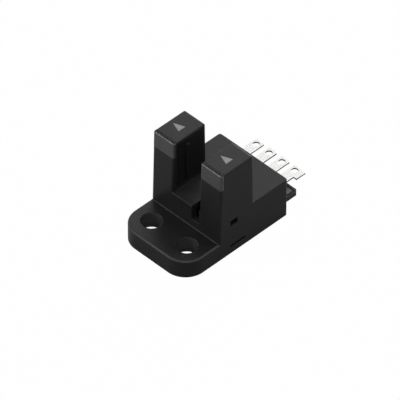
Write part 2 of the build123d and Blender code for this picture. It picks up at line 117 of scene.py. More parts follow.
class ShaderSheet:
    """One material and the few node patterns that the finishes share."""

    soft_samples: int = 6
    rim_begins: tuple[float, float] = (0.1, 0.35)
    rim_ends: tuple[float, float] = (0.93, 0.99)
    bore_fade: float = 0.02 * MILLIMETRE

    def __init__(self, name: str) -> None:
        """Starts a material with a Principled shader.

        Args:
            name: The material's name.
        """
        self.material = bpy.data.materials.new(name)
        self.material.use_nodes = True
        self.tree = self.material.node_tree
        self.shader = self.tree.nodes["Principled BSDF"]
        self.output = self.tree.nodes["Material Output"]
        self.place = self.add("ShaderNodeTexCoord").outputs["Object"]

    def add(self, kind: str, **settings: object) -> bpy.types.Node:
        """Adds a node.

        Args:
            kind: Blender's identifier of the node.
            settings: Attributes that are set on it.

        Returns:
            The new node.
        """
        node = self.tree.nodes.new(kind)
        for key, value in settings.items():
            setattr(node, key, value)
        return node

    def link(self, source: Socket, target: Socket) -> None:
        """Joins an output to an input."""
        self.tree.links.new(source, target)

    def give(self, socket: str, value: Socket | float) -> None:
        """Gives the shader a pattern, or a value that is the same all over.

        Args:
            socket: The name of the shader's input.
            value: The pattern's output, or a plain number.
        """
        target = self.shader.inputs[socket]
        if isinstance(value, Socket):
            self.link(value, target)
        else:
            target.default_value = value

    def stretched(self, scale: tuple[float, float, float]) -> Socket:
        """Gives the object's own coordinates, stretched along its axes.

        Args:
            scale: Factors along X, Y and Z.

        Returns:
            The mapped coordinates.
        """
        mapping = self.add("ShaderNodeMapping")
        mapping.inputs["Scale"].default_value = scale
        self.link(self.place, mapping.inputs["Vector"])
        return mapping.outputs["Vector"]

    def along(self, axis: Axis) -> Socket:
        """Gives the object's own coordinate on one axis.

        Args:
            axis: Which one.

        Returns:
            The coordinate, in metres.
        """
        parts = self.add("ShaderNodeSeparateXYZ")
        self.link(self.place, parts.inputs["Vector"])
        return parts.outputs[axis.value]

    def noise(self, size: float, detail: float = 2.0, place: Socket | None = None) -> Socket:
        """Adds a cloud pattern.

        Args:
            size: How large its patches are, in metres.
            detail: How many finer layers it has.
            place: The coordinates it reads, if not the object's own.

        Returns:
            The pattern's value, about 0 to 1.
        """
        cloud = self.add("ShaderNodeTexNoise")
        cloud.inputs["Scale"].default_value = 1 / size
        cloud.inputs["Detail"].default_value = detail
        self.link(place or self.place, cloud.inputs["Vector"])
        return cloud.outputs["Fac"]

    def spread(
        self, value: Socket, low: float, high: float, start: float = 0.3, end: float = 0.7
    ) -> Socket:
        """Maps a pattern from one range to another and keeps it inside.

        Args:
            value: The pattern.
            low: What its start becomes.
            high: What its end becomes.
            start: Where the pattern's range starts.
            end: Where it ends.

        Returns:
            The mapped value.
        """
        node = self.add("ShaderNodeMapRange")
        for key, number in (("From Min", start), ("From Max", end), ("To Min", low), ("To Max", high)):
            node.inputs[key].default_value = number
        self.link(value, node.inputs["Value"])
        return node.outputs["Result"]

    def around(self, value: Socket, middle: float, swing: float) -> Socket:
        """Maps a pattern to a little below and above a number."""
        return self.spread(value, middle - swing, middle + swing)

    def between(self, mask: Socket, low: float, high: float) -> Socket:
        """Maps a mask's 0 to one number and its 1 to another."""
        return self.spread(mask, low, high, 0, 1)

    def inverse(self, mask: Socket) -> Socket:
        """Swaps a mask's 0 and 1."""
        return self.between(mask, 1, 0)

    def blend(self, share: Socket, first: Tint, second: Tint) -> Socket:
        """Blends two colours.

        Args:
            share: How much of the second colour shows.
            first: A colour, red, green and blue.
            second: The other one.

        Returns:
            The blended colour.
        """
        node = self.add("ShaderNodeMix", data_type="RGBA")
        node.inputs["A"].default_value = (*first, 1)
        node.inputs["B"].default_value = (*second, 1)
        self.link(share, node.inputs["Factor"])
        return node.outputs["Result"]

    def mottled(self, share: Socket, shade: float, dark: Tint, light: Tint) -> Socket:
        """Blends a grey between a darker and a lighter tone."""
        return self.blend(share, toned(shade, dark), toned(shade, light))

    def overlay(self, under: Socket, share: Socket, colour: Tint) -> Socket:
        """Lays a plain colour over a pattern.

        Args:
            under: The colour pattern.
            share: How much of the plain colour shows.
            colour: The plain colour, red, green and blue.

        Returns:
            The joined colour.
        """
        node = self.add("ShaderNodeMix", data_type="RGBA")
        self.link(share, node.inputs["Factor"])
        self.link(under, node.inputs["A"])
        node.inputs["B"].default_value = (*colour, 1)
        return node.outputs["Result"]

    def joined(self, way: Join, *values: Socket) -> Socket:
        """Joins several values into one.

        Args:
            way: How each is joined to those before it.
            values: The values, in order.

        Returns:
            The joined value.
        """
        total = values[0]
        for value in values[1:]:
            node = self.add("ShaderNodeMath", operation=way.value)
            self.link(total, node.inputs[0])
            self.link(value, node.inputs[1])
            total = node.outputs["Value"]
        return total

    def shifted(self, value: Socket, amount: float) -> Socket:
        """Takes a plain number off a value.

        Args:
            value: The value.
            amount: What is taken off it.

        Returns:
            What is left.
        """
        node = self.add("ShaderNodeMath", operation="SUBTRACT")
        self.link(value, node.inputs[0])
        node.inputs[1].default_value = amount
        return node.outputs["Value"]

    def unsigned(self, value: Socket) -> Socket:
        """Drops a value's sign.

        Args:
            value: The value.

        Returns:
            Its size.
        """
        node = self.add("ShaderNodeMath", operation="ABSOLUTE")
        self.link(value, node.inputs[0])
        return node.outputs["Value"]

    def length(self, vector: Socket) -> Socket:
        """Measures a vector.

        Args:
            vector: The vector.

        Returns:
            Its length.
        """
        node = self.add("ShaderNodeVectorMath", operation="LENGTH")
        self.link(vector, node.inputs[0])
        return node.outputs["Value"]

    def soft_normal(self, radius: float) -> Socket:
        """Rounds the shading of edges that are sharper in the mesh than on the real part.

        Args:
            radius: The radius of the softened edges, in metres.

        Returns:
            The softened normal.
        """
        node = self.add("ShaderNodeBevel", samples=self.soft_samples)
        node.inputs["Radius"].default_value = radius
        return node.outputs["Normal"]

    def relief(
        self, height: Socket, depth: float, strength: float, normal: Socket | None = None
    ) -> Socket:
        """Raises a fine relief.

        Args:
            height: The pattern, about 0 to 1.
            depth: How deep the relief is, in metres.
            strength: How much of it shows.
            normal: The normal that it starts from, if not the surface's own.

        Returns:
            The bumped normal.
        """
        node = self.add("ShaderNodeBump")
        node.inputs["Distance"].default_value = depth
        node.inputs["Strength"].default_value = strength
        self.link(height, node.inputs["Height"])
        if normal is not None:
            self.link(normal, node.inputs["Normal"])
        return node.outputs["Normal"]

    def above(self, level: float, fade: float) -> Socket:
        """Tells the top of a part from what is below: 1 above the level, in metres, and 0 below."""
        return self.spread(self.along(Axis.Z), 0, 1, level - fade / 2, level + fade / 2)

    def beyond(self, axis: Axis, centre: float, reach: float, fade: float) -> Socket:
        """Tells the ends of a part from its middle.

        Args:
            axis: The way from end to end.
            centre: The middle on that axis, in metres.
            reach: How far the middle stretch goes each way.
            fade: How wide the change is.

        Returns:
            0 in the middle and 1 at the ends.
        """
        away = self.unsigned(self.shifted(self.along(axis), centre))
        return self.spread(away, 0, 1, reach - fade / 2, reach + fade / 2)

    def rims(self, level: float, fade: float) -> Socket:
        """Finds the rounded upper edges of a low ledge.

        Args:
            level: The height of the ledge's top, in metres.
            fade: How far above it the pattern ends.

        Returns:
            1 on the rounded edges and 0 elsewhere.
        """
        parts = self.add("ShaderNodeSeparateXYZ")
        self.link(self.add("ShaderNodeNewGeometry").outputs["Normal"], parts.inputs["Vector"])
        leaning = self.spread(parts.outputs["Z"], 0, 1, *self.rim_begins)
        not_level = self.spread(parts.outputs["Z"], 1, 0, *self.rim_ends)
        low = self.inverse(self.above(level + fade / 2, fade))
        return self.joined(Join.PRODUCT, leaning, not_level, low)

    def bores(self, offset: float, radius: float) -> Socket:
        """Finds the walls of two upright bores, one on each side of the middle.

        Args:
            offset: How far each axis is from the middle, in metres.
            radius: The bores' radius.

        Returns:
            1 inside the bores and 0 outside them.
        """
        flat = self.add("ShaderNodeCombineXYZ")
        self.link(self.shifted(self.unsigned(self.along(Axis.X)), offset), flat.inputs["X"])
        self.link(self.along(Axis.Y), flat.inputs["Y"])
        return self.spread(self.length(flat.outputs["Vector"]), 1, 0, radius, radius + self.bore_fade)


@dataclass(frozen=True)
class MouldedPlastic:
    """Black moulded plastic with a fine spark-eroded grain.

    A piece whose ledge, bore_radius or pocket_level is 0 has no such place. The paler rims of the
    ledge are a painted highlight, and the paler bore walls and pocket floor are painted light.
    """

    name: str
    shade: float = 0.0153
    roughness: float = 0.34
    gloss: float = 0.115
    dark: Tint = (0.82, 0.82, 0.84)
    light: Tint = (1.2, 1.19, 1.18)
    flow_size: float = 2.5 * MILLIMETRE
    flow_share: float = 0.6
    grain_size: float = 0.07 * MILLIMETRE
    grain_depth: float = 0.0035 * MILLIMETRE
    grain_strength: float = 0.6
    coarse_factor: float = 3.2
    unevenness: float = 0.03
    edge: float = 0.15 * MILLIMETRE
    ledge: float = 0.0
    ledge_fade: float = 0.05 * MILLIMETRE
    # The colour of the painted highlight on the ledge's rounded rims.
    rim_painted_highlight: float = 0.055
    bore_offset: float = 0.0
    bore_radius: float = 0.0
    # The colour of the painted light on the bore walls.
    bore_painted_light: float = 0.055
    pocket_level: float = 0.0
    pocket_reach: float = 0.04 * MILLIMETRE
    pocket_fade: float = 0.02 * MILLIMETRE
    # The colour of the painted light on the pocket's floor.
    pocket_painted_light: float = 0.1

    def colour(self, sheet: ShaderSheet, flow: Socket, fine: Socket) -> Socket:
        """Mixes the colour, with a painted highlight on the ledge's rims and painted light in the
        bores and on the pocket's floor.

        Args:
            sheet: The material.
            flow: The wide pattern.
            fine: The fine one.

        Returns:
            The colour pattern.
        """
        wide = sheet.spread(flow, 0, self.flow_share)
        narrow = sheet.spread(fine, 0, 1 - self.flow_share)
        share = sheet.joined(Join.SUM, wide, narrow)
        mixed = sheet.mottled(share, self.shade, self.dark, self.light)
        # Painted highlight along the ledge's rounded top edges.
        if self.ledge:
            rims = sheet.rims(self.ledge, self.ledge_fade)
            mixed = sheet.overlay(mixed, rims, (self.rim_painted_highlight,) * 3)
        # Painted light on the walls of the bores.
        if self.bore_radius:
            bored = sheet.bores(self.bore_offset, self.bore_radius)
            mixed = sheet.overlay(mixed, bored, (self.bore_painted_light,) * 3)
        # Painted light on the pocket's floor.
        if self.pocket_level:
            outside = sheet.beyond(Axis.Z, self.pocket_level, self.pocket_reach, self.pocket_fade)
            mixed = sheet.overlay(mixed, sheet.inverse(outside), (self.pocket_painted_light,) * 3)
        return mixed

    def make(self) -> bpy.types.Material:
        """Builds the finish.

        Returns:
            The material.
        """
        sheet = ShaderSheet(self.name)
        flow = sheet.noise(self.flow_size, detail=3)
        fine = sheet.noise(self.grain_size, detail=3)
        coarse = sheet.noise(self.grain_size * self.coarse_factor, detail=2)
        sheet.give("Base Color", self.colour(sheet, flow, fine))
        wide = sheet.around(flow, self.roughness, self.unevenness)
        narrow = sheet.around(coarse, 0, self.unevenness)
        sheet.give("Roughness", sheet.joined(Join.SUM, wide, narrow))
        sheet.give("Specular IOR Level", self.gloss)
        height = sheet.joined(Join.SUM, fine, coarse)
        soft = sheet.soft_normal(self.edge)
        sheet.give("Normal", sheet.relief(height, self.grain_depth, self.grain_strength, soft))
        return sheet.material


@dataclass(frozen=True)
class WindowPlastic:
    """Smooth dark plastic that lets light through from inside: smoked or nearly black."""

    name: str
    shade: float
    roughness: float
    gloss: float
    dark: Tint = (0.93, 0.93, 0.95)
    light: Tint = (1.06, 1.05, 1.04)
    flow_size: float = 1.6 * MILLIMETRE
    ripple_size: float = 0.09 * MILLIMETRE
    ripple_depth: float = 0.001 * MILLIMETRE
    ripple_strength: float = 0.4
    unevenness: float = 0.02
    edge: float = 0.04 * MILLIMETRE
    crown_depth: float = 0.0
    crown_painted_shade: float = 0.008
    crown_gloss: float = 0.08

    def make(self) -> bpy.types.Material:
        """Builds the finish, with a duller crown in painted shade where the window reaches the post's
        top.

        Returns:
            The material.
        """
        sheet = ShaderSheet(self.name)
        share = sheet.spread(sheet.noise(self.flow_size, detail=2), 0, 1)
        colour = sheet.mottled(share, self.shade, self.dark, self.light)
        sheet.give("Specular IOR Level", self.gloss)
        # The crown is painted shade, darker than the window's front, and also duller.
        if self.crown_depth:
            crown = sheet.above(CAD_BOX[1][2] - self.crown_depth, self.crown_depth)
            colour = sheet.overlay(colour, crown, (self.crown_painted_shade,) * 3)
            sheet.give("Specular IOR Level", sheet.between(crown, self.gloss, self.crown_gloss))
        sheet.give("Base Color", colour)
        ripple = sheet.noise(self.ripple_size, detail=2)
        sheet.give("Roughness", sheet.around(ripple, self.roughness, self.unevenness))
        soft = sheet.soft_normal(self.edge)
        sheet.give("Normal", sheet.relief(ripple, self.ripple_depth, self.ripple_strength, soft))
        return sheet.material


@dataclass(frozen=True)
class MarkPaint:
    """The grey paint that fills the light arrows."""

    name: str = "mark_paint"
    shade: float = 0.19
    roughness: float = 0.6
    dark: Tint = (0.8, 0.8, 0.81)
    light: Tint = (1.15, 1.15, 1.15)
    blotch_size: float = 0.22 * MILLIMETRE
    grit_size: float = 0.05 * MILLIMETRE
    grit_depth: float = 0.003 * MILLIMETRE
    grit_strength: float = 0.6

    def make(self) -> bpy.types.Material:
        """Builds the finish.

        Returns:
            The material.
        """
        sheet = ShaderSheet(self.name)
        share = sheet.spread(sheet.noise(self.blotch_size, detail=3), 0, 1)
        sheet.give("Base Color", sheet.mottled(share, self.shade, self.dark, self.light))
        sheet.give("Roughness", self.roughness)
        grit = sheet.noise(self.grit_size)
        sheet.give("Normal", sheet.relief(grit, self.grit_depth, self.grit_strength))
        return sheet.material


@dataclass(frozen=True)
class TinPlate:
    """Bright tin plate with faint rolling lines along the strip."""

    name: str = "tin_plate"
    shade: float = 0.352
    roughness: float = 0.34
    dark: Tint = (0.93, 0.93, 0.92)
    light: Tint = (1.06, 1.06, 1.05)
    line_width: float = 0.05 * MILLIMETRE
    line_stretch: float = 0.04
    line_share: float = 0.7
    line_roughness: float = 0.015
    line_depth: float = 0.0005 * MILLIMETRE
    line_strength: float = 0.5
    cloud_size: float = 0.7 * MILLIMETRE
    cloud_roughness: float = 0.02

    def make(self) -> bpy.types.Material:
        """Builds the finish.

        Returns:
            The material.
        """
        sheet = ShaderSheet(self.name)
        strip = sheet.stretched((1, self.line_stretch, 1))
        lines = sheet.noise(self.line_width, detail=3, place=strip)
        cloud = sheet.noise(self.cloud_size, detail=3)
        narrow = sheet.spread(lines, 0, self.line_share)
        wide = sheet.spread(cloud, 0, 1 - self.line_share)
        share = sheet.joined(Join.SUM, narrow, wide)
        sheet.give("Base Color", sheet.mottled(share, self.shade, self.dark, self.light))
        sheet.give("Metallic", 1)
        dull = sheet.around(cloud, self.roughness, self.cloud_roughness)
        brushed = sheet.around(lines, 0, self.line_roughness)
        sheet.give("Roughness", sheet.joined(Join.SUM, dull, brushed))
        sheet.give("Normal", sheet.relief(lines, self.line_depth, self.line_strength))
        return sheet.material


@dataclass(frozen=True)
class ShearedEdge:
    """The stamped edge of a terminal: burnished above, torn and duller below, in near-black colours
    that are painted shade over the cut metal.
    """

    low: float
    high: float
    name: str = "sheared_edge_painted_shade"
    # Both colours are near black: painted shade on the terminals' cut edges and hole walls.
    torn: Tint = (0.03, 0.029, 0.028)
    burnished: Tint = (0.055, 0.054, 0.053)
    torn_roughness: float = 0.62
    burnished_roughness: float = 0.4
    band_fade: float = 0.04 * MILLIMETRE
    streak_width: float = 0.04 * MILLIMETRE
    streak_stretch: float = 0.15
    streak_depth: float = 0.004 * MILLIMETRE
    streak_strength: float = 0.7

    def make(self) -> bpy.types.Material:
        """Builds the finish.

        Returns:
            The material.
        """
        sheet = ShaderSheet(self.name)
        band = sheet.above((self.low + self.high) / 2, self.band_fade)
        sheet.give("Base Color", sheet.blend(band, self.torn, self.burnished))
        sheet.give("Metallic", 1)
        sheet.give("Roughness", sheet.between(band, self.torn_roughness, self.burnished_roughness))
        upright = sheet.stretched((1, 1, self.streak_stretch))
        streaks = sheet.noise(self.streak_width, detail=2, place=upright)
        sheet.give("Normal", sheet.relief(streaks, self.streak_depth, self.streak_strength))
        return sheet.material


@dataclass(frozen=True)
class BoardLaminate:
    """A green solder-mask board: its woven glass and its copper tracks just show through.

    A band pattern of scale 1 repeats every band_period metres.
    """

    name: str = "board_laminate"
    dark_green: Tint = (0.005, 0.03, 0.012)
    light_green: Tint = (0.013, 0.06, 0.022)
    roughness: float = 0.32
    thread_pitch: float = 0.45 * MILLIMETRE
    band_period: float = 0.3
    thread_wobble: float = 0.4
    thread_share: float = 0.3
    track_size: float = 1.3 * MILLIMETRE
    track_stretch: float = 0.35
    track_edge: tuple[float, float] = (0.5, 0.53)
    track_rise: float = 3.0
    depth: float = 0.006 * MILLIMETRE
    strength: float = 0.5

    def threads(self, sheet: ShaderSheet, axis: Axis) -> Socket:
        """Lays one set of the cloth's threads.

        Args:
            sheet: The material.
            axis: The way across the threads.

        Returns:
            The threads' height, 0 to 1.
        """
        wave = sheet.add("ShaderNodeTexWave", wave_type="BANDS", bands_direction=axis.value)
        wave.inputs["Scale"].default_value = self.band_period / self.thread_pitch
        wave.inputs["Distortion"].default_value = self.thread_wobble
        sheet.link(sheet.place, wave.inputs["Vector"])
        return wave.outputs["Fac"]

    def make(self) -> bpy.types.Material:
        """Builds the finish.

        Returns:
            The material.
        """
        sheet = ShaderSheet(self.name)
        cloth = sheet.joined(Join.SUM, self.threads(sheet, Axis.X), self.threads(sheet, Axis.Y))
        run = sheet.stretched((1, self.track_stretch, 1))
        track = sheet.noise(self.track_size, detail=0, place=run)
        woven = sheet.spread(cloth, 0, self.thread_share, 0, 2)
        copper = sheet.spread(track, 0, 1 - self.thread_share, *self.track_edge)
        share = sheet.joined(Join.SUM, woven, copper)
        sheet.give("Base Color", sheet.blend(share, self.dark_green, self.light_green))
        sheet.give("Roughness", self.roughness)
        raised = sheet.spread(track, 0, self.track_rise, *self.track_edge)
        height = sheet.joined(Join.SUM, cloth, raised)
        sheet.give("Normal", sheet.relief(height, self.depth, self.strength))
        return sheet.material


@dataclass(frozen=True)
class PartLook:
    """What one kind of small electronic part looks like: its flecked body and its tinned metal."""

    darker: float
    lighter: float
    roughness: float
    metal: Tint
    metal_roughness: float
    fade: float
    fleck_size: float
    fleck_strength: float
    fleck_depth: float = 0.004 * MILLIMETRE


@dataclass(frozen=True)
class TinnedPart:
    """A small electronic part: a moulded or ceramic body with tinned metal past its two ends."""

    name: str
    look: PartLook
    colour: Tint
    axis: Axis
    centre: float
    half_body: float

    def make(self) -> bpy.types.Material:
        """Builds the finish.

        Returns:
            The material.
        """
        sheet = ShaderSheet(self.name)
        look = self.look
        ends = sheet.beyond(self.axis, self.centre, self.half_body, look.fade)
        fleck = sheet.noise(look.fleck_size, detail=3)
        dark = scaled(self.colour, look.darker)
        light = scaled(self.colour, look.lighter)
        body = sheet.blend(sheet.spread(fleck, 0, 1), dark, light)
        sheet.give("Base Color", sheet.overlay(body, ends, look.metal))
        sheet.give("Metallic", ends)
        sheet.give("Roughness", sheet.between(ends, look.roughness, look.metal_roughness))
        sheet.give("Normal", sheet.relief(fleck, look.fleck_depth, look.fleck_strength))
        return sheet.material


@dataclass(frozen=True)
class CastResin:
    """Cast optical resin, clear or dyed, with faint casting waves."""

    name: str
    colour: Tint
    clearness: float
    roughness: float = 0.12
    refraction: float = 1.52
    wave_size: float = 0.6 * MILLIMETRE
    wave_shade: float = 0.94
    wave_depth: float = 0.004 * MILLIMETRE
    wave_strength: float = 0.5
    haze_size: float = 0.1 * MILLIMETRE
    haze: float = 0.03

    def make(self) -> bpy.types.Material:
        """Builds the finish.

        Returns:
            The material.
        """
        sheet = ShaderSheet(self.name)
        wave = sheet.noise(self.wave_size, detail=2)
        dark = scaled(self.colour, self.wave_shade)
        sheet.give("Base Color", sheet.blend(sheet.spread(wave, 0, 1), dark, self.colour))
        sheet.give("Transmission Weight", self.clearness)
        sheet.give("IOR", self.refraction)
        haze = sheet.noise(self.haze_size, detail=2)
        sheet.give("Roughness", sheet.around(haze, self.roughness, self.haze))
        sheet.give("Normal", sheet.relief(wave, self.wave_depth, self.wave_strength))
        return sheet.material


def dress(name: str, *materials: bpy.types.Material) -> None:
    """Gives a CAD node its finish and leaves its mesh as it is.

    Args:
        name: The CAD node.
        materials: What goes in its material slots, in order.
    """
    piece = frame["nodes"][name]
    piece.data.materials.clear()
    for material in materials:
        piece.data.materials.append(material)
    log.info("dressed %s with %s", name, ", ".join(m.name for m in materials))


def settle(
    shape: bmesh.types.BMesh, name: str, slot: Slot, *materials: bpy.types.Material
) -> bpy.types.Object:
    """Makes a finished bmesh a piece that rides on the body.

    Args:
        shape: The bmesh, which is freed.
        name: The piece's name.
        slot: Not used.
        materials: Its materials, in order.

    Returns:
        The new object.
    """
    mesh = bpy.data.meshes.new(name)
    shape.to_mesh(mesh)
    shape.free()
    for material in materials:
        mesh.materials.append(material)
    piece = bpy.data.objects.new(name, mesh)
    bpy.context.scene.collection.objects.link(piece)
    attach(piece, BODY)
    log.info("built %s with %d faces", name, len(mesh.polygons))
    return piece


def merged_copy(
    name: str, same_place: float = 0.002 * MILLIMETRE, flat_angle: float = 0.5
) -> bmesh.types.BMesh:
    """Copies a CAD node's mesh with its loose triangles joined into whole faces.

    Args:
        name: The CAD node.
        same_place: How near two corners are when they are one, in metres.
        flat_angle: The turn in degrees below which two faces are one.

    Returns:
        The joined copy.
    """
    shape = bmesh.new()
    shape.from_mesh(frame["nodes"][name].data)
    bmesh.ops.remove_doubles(shape, verts=shape.verts, dist=same_place)
    bmesh.ops.dissolve_limit(
        shape,
        angle_limit=math.radians(flat_angle),
        use_dissolve_boundaries=False,
        verts=shape.verts,
        edges=shape.edges,
        delimit=set(),
    )
    return shape


def soften(
    shape: bmesh.types.BMesh,
    width: float,
    sharp_angle: float = 32,
    segments: int = 2,
    level_share: float = 0.999,
) -> None:
    """Rounds the sharp edges of a shape, keeps its level faces flat and shades the rest smoothly.

    Args:
        shape: The bmesh to change.
        width: How far the rounding reaches from each edge, in metres.
        sharp_angle: The turn in degrees from which an edge is sharp.
        segments: The steps of each rounding.
        level_share: How upright the normal of a level face is, from 0 to 1.
    """
    limit = math.radians(sharp_angle)
    bmesh.ops.bevel(
        shape,
        geom=[edge for edge in shape.edges if edge.is_manifold and edge.calc_face_angle(0) > limit],
        offset=width,
        offset_type="OFFSET",
        segments=segments,
        profile=0.5,
        affect="EDGES",
        clamp_overlap=True,
        material=-1,
    )
    shape.normal_update()
    for face in shape.faces:
        face.smooth = abs(face.normal.z) < level_share
    for edge in shape.edges:
        edge.smooth = edge.calc_face_angle(0) < limit


@dataclass
class Housing:
    """The black case and the cover that closes it from below."""

    flange_top: float = 3.0 * MILLIMETRE
    # The cover is darker than the case so that its ribs in the low slits read black: painted shade in
    # the slits.
    cover_finish: MouldedPlastic = MouldedPlastic(
        "cover_black", shade=0.008, roughness=0.45, gloss=0.08
    )

    def case_finish(self) -> MouldedPlastic:
        """Chooses the case's finish, with painted light in the mounting holes where the record puts
        them and a painted highlight on the flange's rim.

        Returns:
            The finish.
        """
        mounts = frame["record"]["mounts"]
        sizes = next(mount["dims"] for mount in mounts if mount["kind"] == "bolt_pattern")
        return MouldedPlastic(
            "case_black",
            ledge=self.flange_top,
            bore_offset=sizes["spacing_x_mm"] / 2 * MILLIMETRE,
            bore_radius=sizes["hole_r_mm"] * MILLIMETRE,
        )

    def build(self) -> None:
        """Dresses the case and the base cover."""
        dress("case", self.case_finish().make())
        dress("base_cover", self.cover_finish.make())


@dataclass
class Windows:
    """The dark windows towards the slot and the lighter ones round the tops of the fronts."""

    slot_finish: WindowPlastic = WindowPlastic("window_dark", shade=0.009, roughness=0.28, gloss=0.17)
    # The indicator windows' crown is painted shade.
    indicator_finish: WindowPlastic = WindowPlastic(
        "indicator_smoke", shade=0.038, roughness=0.24, gloss=0.5, crown_depth=0.022 * MILLIMETRE
    )

    def build(self) -> None:
        """Dresses both windows of each post."""
        dark = self.slot_finish.make()
        smoked = self.indicator_finish.make()
        for side in Side:
            dress(f"slot_window_{side.value}", dark)
            dress(f"indicator_window_{side.value}", smoked)


@dataclass
class ArrowMarks:
    """The painted light arrows, each a thin inlay in its recess in a post's top."""

    length: float = 1.8 * MILLIMETRE
    base: float = 1.37 * MILLIMETRE
    tip_shift: float = -0.1 * MILLIMETRE
    set_back: float = 0.04 * MILLIMETRE
    recess: float = 0.06 * MILLIMETRE
    side_gap: float = 0.02 * MILLIMETRE
    sunk: float = 0.004 * MILLIMETRE
    below_top: float = 0.015 * MILLIMETRE
    rounding: float = 0.012 * MILLIMETRE
    corners: int = 3
    finish: MarkPaint = MarkPaint()

    def inlay(self, centre_x: float, centre_y: float, top: float) -> bmesh.types.BMesh:
        """Shapes one arrow.

        Args:
            centre_x: The middle of the post across the slot.
            centre_y: The middle of the arrow from front to rear.
            top: The level of the post's top.

        Returns:
            The arrow's bmesh, in place.
        """
        shape = bmesh.new()
        quarter_turn = Matrix.Rotation(math.pi / 2, 4, "Z")
        bmesh.ops.create_circle(
            shape, cap_ends=True, segments=self.corners, radius=1, matrix=quarter_turn
        )
        across = [vert.co.x for vert in shape.verts]
        along = [vert.co.y for vert in shape.verts]
        shrink = 1 - 2 * self.side_gap / self.base
        factor_x = self.length / (max(across) - min(across)) * shrink
        factor_y = self.base / (max(along) - min(along)) * shrink
        bmesh.ops.scale(shape, verts=shape.verts, vec=(factor_x, factor_y, 1))
        bottom = top - self.recess - self.sunk
        height = self.recess + self.sunk - self.below_top
        place = (centre_x + self.tip_shift, centre_y, bottom)
        bmesh.ops.translate(shape, verts=shape.verts, vec=place)
        grown = bmesh.ops.extrude_face_region(shape, geom=list(shape.faces))
        raised = [part for part in grown["geom"] if isinstance(part, bmesh.types.BMVert)]
        bmesh.ops.translate(shape, verts=raised, vec=(0, 0, height))
        bmesh.ops.recalc_face_normals(shape, faces=shape.faces)
        soften(shape, self.rounding)
        return shape

    def build(self) -> None:
        """Sets one arrow in the top of each post."""
        paint = self.finish.make()
        for side in Side:
            front_low, front_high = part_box(f"indicator_window_{side.value}")
            pane_low, pane_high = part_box(f"slot_window_{side.value}")
            centre_x = (front_low.x + front_high.x) / 2
            centre_y = (pane_low.y + pane_high.y) / 2 + self.set_back
            shape = self.inlay(centre_x, centre_y, front_high.z)
            settle(shape, f"arrow_mark_{side.value}", Slot.CASE, paint)


@dataclass
class Terminals:
    """The four flat tinned terminals and the moulding that holds them."""

    count: int = 4
    edge: float = 0.035 * MILLIMETRE
    flat_share: float = 0.3
    tongue_gap: float = 0.21 * MILLIMETRE
    pocket_depth: float = 0.15 * MILLIMETRE
    block_shade: float = 0.032
    block_roughness: float = 0.38
    plate: TinPlate = TinPlate()

    def blade(self, name: str) -> bmesh.types.BMesh:
        """Copies one terminal with stamped, slightly rolled edges.

        Args:
            name: The CAD node.

        Returns:
            The shape, with its side faces in the second material slot.
        """
        shape = merged_copy(name)
        soften(shape, self.edge)
        for face in shape.faces:
            face.material_index = 0 if abs(face.normal.z) > self.flat_share else 1
        return shape

    def block_finish(self, blade_bottom: float) -> MouldedPlastic:
        """Chooses the block's finish, with painted light on the floor of the shallow pocket in its
        tongue.

        Args:
            blade_bottom: The level of the terminals' underside, in metres.

        Returns:
            The finish.
        """
        return MouldedPlastic(
            "block_black",
            shade=self.block_shade,
            roughness=self.block_roughness,
            pocket_level=blade_bottom - self.tongue_gap - self.pocket_depth,
        )

    def build(self) -> None:
        """Replaces the terminals and dresses their block."""
        low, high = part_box("terminal_1")
        plate = self.plate.make()
        sheared_painted_shade = ShearedEdge(low.z, high.z).make()
        for index in range(1, self.count + 1):
            node = f"terminal_{index}"
            piece = settle(self.blade(node), f"{node}_plated", Slot.METAL, plate, sheared_painted_shade)
            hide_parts(node)
        dress("terminal_block", self.block_finish(low.z).make())


@dataclass
class OpticalPair:
    """The emitter and receiver with their holders and leads."""

    holder_finish: MouldedPlastic = MouldedPlastic("holder_black", shade=0.02, roughness=0.5)
    emitter_finish: CastResin = CastResin("emitter_resin", colour=(0.62, 0.68, 0.78), clearness=0.85)
    receiver_finish: CastResin = CastResin(
        "receiver_resin", colour=(0.012, 0.010, 0.014), clearness=0.0, roughness=0.16
    )
    lead_finish: TinPlate = TinPlate("lead_tin", shade=0.6, roughness=0.34)
    emitter_leads: int = 2
    receiver_leads: int = 3

    def build(self) -> None:
        """Dresses the holders, the two packages and their leads."""
        holder = self.holder_finish.make()
        dress("emitter_holder", holder)
        dress("receiver_holder", holder)
        dress("infrared_emitter", self.emitter_finish.make())
        dress("photo_receiver", self.receiver_finish.make())
        tin = self.lead_finish.make()
        for index in range(1, self.emitter_leads + 1):
            dress(f"emitter_lead_{index}", tin)
        for index in range(1, self.receiver_leads + 1):
            dress(f"receiver_lead_{index}", tin)


